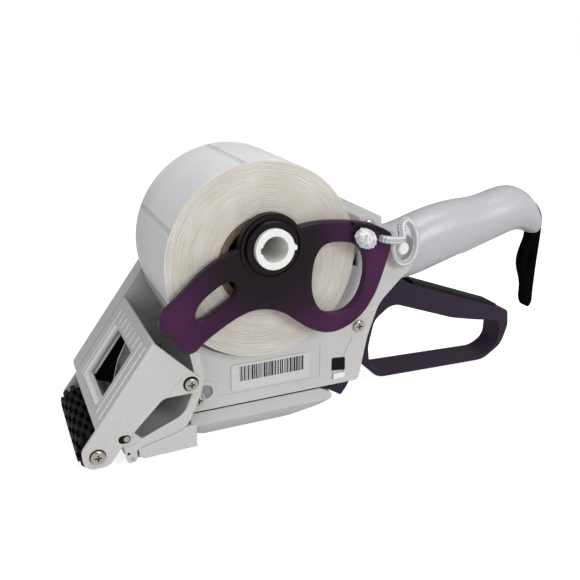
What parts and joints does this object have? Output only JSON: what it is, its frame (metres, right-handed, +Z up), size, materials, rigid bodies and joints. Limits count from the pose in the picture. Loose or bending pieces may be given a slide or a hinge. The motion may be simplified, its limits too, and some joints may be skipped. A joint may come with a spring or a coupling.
{
  "type": "label applicator",
  "caption": "Hand-held label applicator: a roll on a spindle over a slanted nose with a press roller, a gear case, a loop trigger and a rear handle.",
  "frame": {"origin": "on the flat underside of the bottom cover, straight below the label roll's centre, midway across the label", "axes": "+X from the nose towards the handle, +Y from the roll guide towards the gear case, +Z up"},
  "size_m": [0.2945, 0.0951, 0.148],
  "materials": {
    "shell_plastic": "glossy moulded",
    "purple_plastic": "semi-gloss moulded",
    "gear_plastic": "moulded acetal",
    "black_plastic": "fine matte",
    "smoky_plastic": "smoked clear",
    "white_plastic": "glossy",
    "black_rubber": "matt moulded",
    "nickel_steel": "nickel plated",
    "label_paper": "smooth paper edges",
    "backing_paper": "glassine",
    "cardboard": "wound board",
    "white_cord": "braided",
    "black_strap": "woven"
  },
  "bodies": {
    "chassis": {"main_frame": "shell_plastic", "side_cover": "shell_plastic", "gear_cover": "shell_plastic", "handle_grip": "shell_plastic", "label_bed": "shell_plastic", "spindle_tube": "shell_plastic", "spindle_flange": "shell_plastic", "shaft_bushes": "gear_plastic", "cord_post": "white_plastic", "gear_cover_screws": "nickel_steel", "cover_screws": "nickel_steel", "bed_screw": "nickel_steel", "nose_pivot_pin": "nickel_steel", "cover_hinge_pin": "nickel_steel", "latch_pin": "nickel_steel", "peel_bar": "nickel_steel", "guide_bar": "nickel_steel", "gear_studs": "nickel_steel", "return_spring": "nickel_steel", "label_web": "backing_paper", "wrist_strap": "black_strap"},
    "trigger": {"trigger_lever": "purple_plastic", "lever_pad": "black_rubber", "lever_shaft": "nickel_steel", "sector_gear": "gear_plastic"},
    "cluster": {"idler_cluster": "gear_plastic"},
    "idler": {"idler_gear": "gear_plastic"},
    "feed": {"feed_shaft": "nickel_steel", "feed_roller": "black_rubber", "feed_pinion": "gear_plastic"},
    "pinch": {"pinch_roller": "gear_plastic", "pinch_shaft": "nickel_steel"},
    "roll": {"label_core": "cardboard", "label_roll": "label_paper"},
    "press_roller": {"press_tube": "white_plastic", "press_discs": "black_rubber"},
    "nose": {"nose_cover": "shell_plastic", "nose_liner": "black_plastic", "hold_down_leaf": "smoky_plastic", "roller_axle": "nickel_steel", "axle_screws": "nickel_steel", "nose_pivot_screw": "nickel_steel"},
    "bottom": {"bottom_cover": "shell_plastic"},
    "latch": {"cover_latch": "purple_plastic"},
    "guide": {"roll_guide": "purple_plastic", "cord_knot": "white_cord", "guide_cord": "white_cord"}
  },
  "joints": [
    {"name": "trigger_pivot", "type": "hinge", "parent": "chassis", "child": "trigger", "pos_m": [0.0585, 0, 0.0516], "axis": [0, -1, 0], "range_deg": [0, 18], "stiffness_Nm_per_rad": 1.5, "springref_deg": -22.92},
    {"name": "cluster_spin", "type": "hinge", "parent": "chassis", "child": "cluster", "pos_m": [0.01385, 0, 0.046], "axis": [0, -1, 0], "range_deg": [-98, 1]},
    {"name": "idler_spin", "type": "hinge", "parent": "chassis", "child": "idler", "pos_m": [-0.02108, 0, 0.04821], "axis": [0, -1, 0], "range_deg": [-1, 147]},
    {"name": "feed_spin", "type": "hinge", "parent": "chassis", "child": "feed", "pos_m": [-0.03, 0, 0.0292], "axis": [0, -1, 0], "range_deg": [-294, 1]},
    {"name": "pinch_spin", "type": "hinge", "parent": "bottom", "child": "pinch", "pos_m": [-0.03, 0, 0.0183], "axis": [0, -1, 0], "range_deg": [-1, 345]},
    {"name": "roll_spin", "type": "hinge", "parent": "chassis", "child": "roll", "pos_m": [0, 0, 0.098], "axis": [0, 1, 0], "continuous": true},
    {"name": "nose_hinge", "type": "hinge", "parent": "chassis", "child": "nose", "pos_m": [-0.0404, 0, 0.0414], "axis": [0, 1, 0], "range_deg": [0, 25]},
    {"name": "press_spin", "type": "hinge", "parent": "nose", "child": "press_roller", "pos_m": [-0.088, 0, 0.0118], "axis": [0, 1, 0], "continuous": true},
    {"name": "cover_hinge", "type": "hinge", "parent": "chassis", "child": "bottom", "pos_m": [-0.071, 0, 0.0051], "axis": [0, 1, 0], "range_deg": [0, 35]},
    {"name": "latch_pivot", "type": "hinge", "parent": "chassis", "child": "latch", "pos_m": [0.046, 0, 0.031], "axis": [0, -1, 0], "range_deg": [0, 10], "stiffness_Nm_per_rad": 0.05, "springref_deg": -28.65},
    {"name": "guide_slide", "type": "slide", "parent": "chassis", "child": "guide", "axis": [0, -1, 0], "range_m": [0, 0.012]}
  ],
  "couplings": [
    {"joint": "cluster_spin", "follows": "trigger_pivot", "ratio": -5.4286},
    {"joint": "idler_spin", "follows": "trigger_pivot", "ratio": 8.1429},
    {"joint": "feed_spin", "follows": "trigger_pivot", "ratio": -16.286},
    {"joint": "pinch_spin", "follows": "trigger_pivot", "ratio": 19.118}
  ]
}
